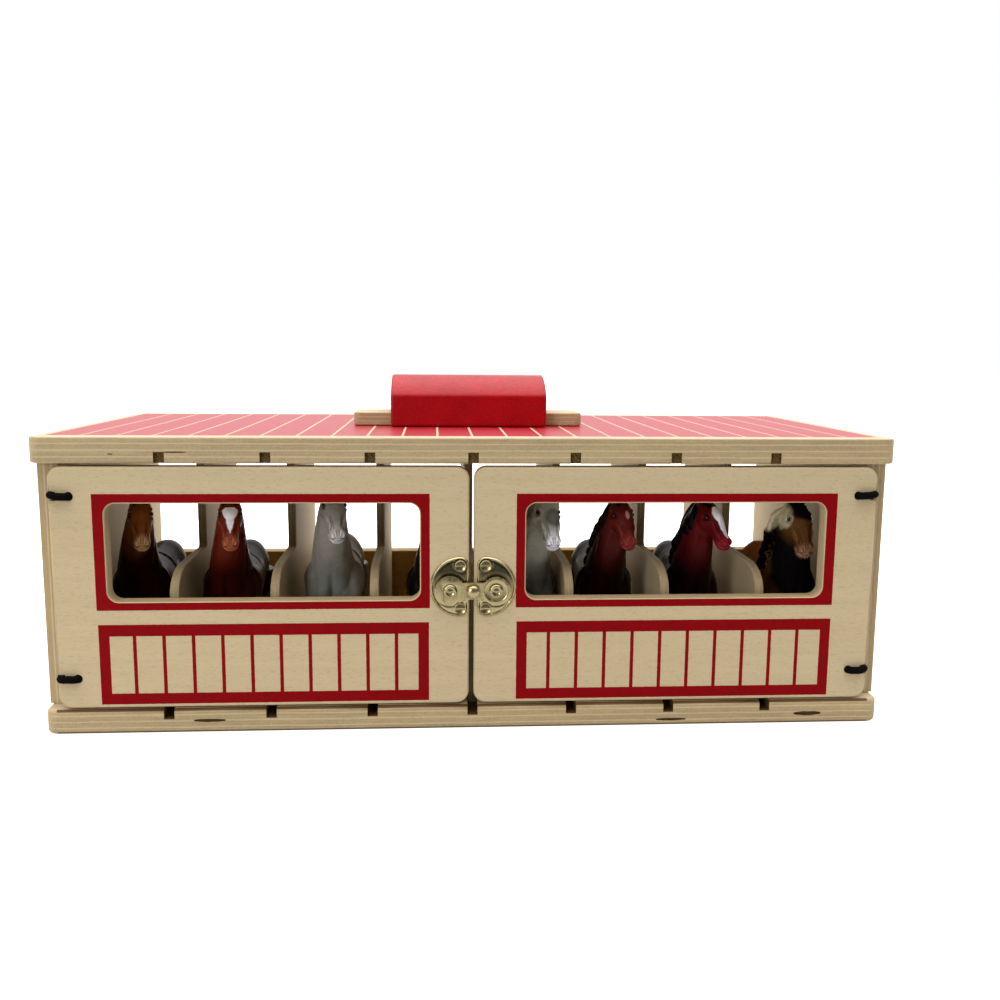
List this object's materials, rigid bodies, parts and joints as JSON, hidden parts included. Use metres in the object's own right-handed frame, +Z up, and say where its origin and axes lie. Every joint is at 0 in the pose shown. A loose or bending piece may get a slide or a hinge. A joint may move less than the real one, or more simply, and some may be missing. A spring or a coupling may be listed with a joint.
{
  "type": "toy horse stable",
  "caption": "Plywood toy stable with divided stalls, two windowed doors on elastic cords, a hook latch, a carrying handle and toy horses inside.",
  "frame": {"origin": "centre of the footprint at the underside of the base panel", "axes": "+X along the stable's length to the right seen from the doors, +Y from the doors to the back, +Z up"},
  "size_m": [0.346, 0.16, 0.1434],
  "materials": {
    "birch_ply": "sanded birch plywood, unvarnished",
    "birch_ply_divider": "thin birch plywood, sanded",
    "roof_print": "birch plywood with a red printed board pattern on top",
    "red_paint": "wood, satin red paint",
    "brass": "stamped and plated, worn satin",
    "steel": "zinc plated",
    "elastic": "black braided elastic cord",
    "horse_brown": "painted plastic, satin",
    "horse_chestnut": "painted plastic, satin",
    "horse_grey": "painted plastic, satin",
    "horse_black": "painted plastic, satin",
    "horse_light_grey": "painted plastic, satin",
    "horse_dark_bay": "painted plastic, satin",
    "horse_bay": "painted plastic, satin",
    "horse_pinto": "flocked plastic"
  },
  "bodies": {
    "cabinet": {"base_panel": "birch_ply", "roof_panel": "roof_print", "side_wall_left": "birch_ply", "side_wall_right": "birch_ply", "back_rail": "birch_ply", "stall_divider_1": "birch_ply_divider", "stall_divider_2": "birch_ply_divider", "stall_divider_3": "birch_ply_divider", "stall_divider_4": "birch_ply_divider", "stall_divider_5": "birch_ply_divider", "stall_divider_6": "birch_ply_divider", "stall_divider_7": "birch_ply_divider", "handle_plate": "birch_ply", "handle_block": "red_paint", "handle_screw_left": "steel", "handle_screw_right": "steel"},
    "left_door": {"door_left": "birch_ply", "latch_plate_left": "brass", "latch_nail_left_top": "brass", "latch_nail_left_bottom": "brass", "latch_catch_pin": "brass", "hinge_cord_left_top": "elastic", "hinge_cord_left_bottom": "elastic"},
    "right_door": {"door_right": "birch_ply", "latch_plate_right": "brass", "latch_nail_right_top": "brass", "latch_nail_right_bottom": "brass", "latch_pivot_rivet": "brass", "hinge_cord_right_top": "elastic", "hinge_cord_right_bottom": "elastic"},
    "latch": {"latch_hook": "brass", "latch_knob": "brass"},
    "toy_horse_1": {"horse_1": "horse_brown"},
    "toy_horse_2": {"horse_2": "horse_chestnut"},
    "toy_horse_3": {"horse_3": "horse_grey"},
    "toy_horse_4": {"horse_4": "horse_black"},
    "toy_horse_5": {"horse_5": "horse_light_grey"},
    "toy_horse_6": {"horse_6": "horse_dark_bay"},
    "toy_horse_7": {"horse_7": "horse_bay"},
    "toy_horse_8": {"horse_8": "horse_pinto"}
  },
  "joints": [
    {"name": "right_door_swing", "type": "hinge", "parent": "cabinet", "child": "right_door", "pos_m": [0.1688, -0.06675, 0.06015], "axis": [0, 0, 1], "range_deg": [0, 110], "deforming": ["hinge_cord_right_top", "hinge_cord_right_bottom"]},
    {"name": "left_door_swing", "type": "hinge", "parent": "cabinet", "child": "left_door", "pos_m": [-0.1688, -0.06675, 0.06015], "axis": [0, 0, -1], "range_deg": [0, 110], "deforming": ["hinge_cord_left_top", "hinge_cord_left_bottom"]},
    {"name": "latch_turn", "type": "hinge", "parent": "right_door", "child": "latch", "pos_m": [0.0093, -0.0763, 0.0588], "axis": [0, 1, 0], "range_deg": [0, 80]},
    {"name": "horse_1_slide", "type": "slide", "parent": "cabinet", "child": "toy_horse_1", "axis": [0, 1, 0], "range_m": [-0.006, 0.03]},
    {"name": "horse_2_slide", "type": "slide", "parent": "cabinet", "child": "toy_horse_2", "axis": [0, 1, 0], "range_m": [-0.006, 0.03]},
    {"name": "horse_3_slide", "type": "slide", "parent": "cabinet", "child": "toy_horse_3", "axis": [0, 1, 0], "range_m": [-0.006, 0.03]},
    {"name": "horse_4_slide", "type": "slide", "parent": "cabinet", "child": "toy_horse_4", "axis": [0, 1, 0], "range_m": [-0.006, 0.03]},
    {"name": "horse_5_slide", "type": "slide", "parent": "cabinet", "child": "toy_horse_5", "axis": [0, 1, 0], "range_m": [-0.006, 0.03]},
    {"name": "horse_6_slide", "type": "slide", "parent": "cabinet", "child": "toy_horse_6", "axis": [0, 1, 0], "range_m": [-0.006, 0.03]},
    {"name": "horse_7_slide", "type": "slide", "parent": "cabinet", "child": "toy_horse_7", "axis": [0, 1, 0], "range_m": [-0.006, 0.03]},
    {"name": "horse_8_slide", "type": "slide", "parent": "cabinet", "child": "toy_horse_8", "axis": [0, 1, 0], "range_m": [-0.004, 0.03]}
  ],
  "couplings": [
    {"joint": "left_door_swing", "follows": "right_door_swing", "ratio": 1}
  ]
}
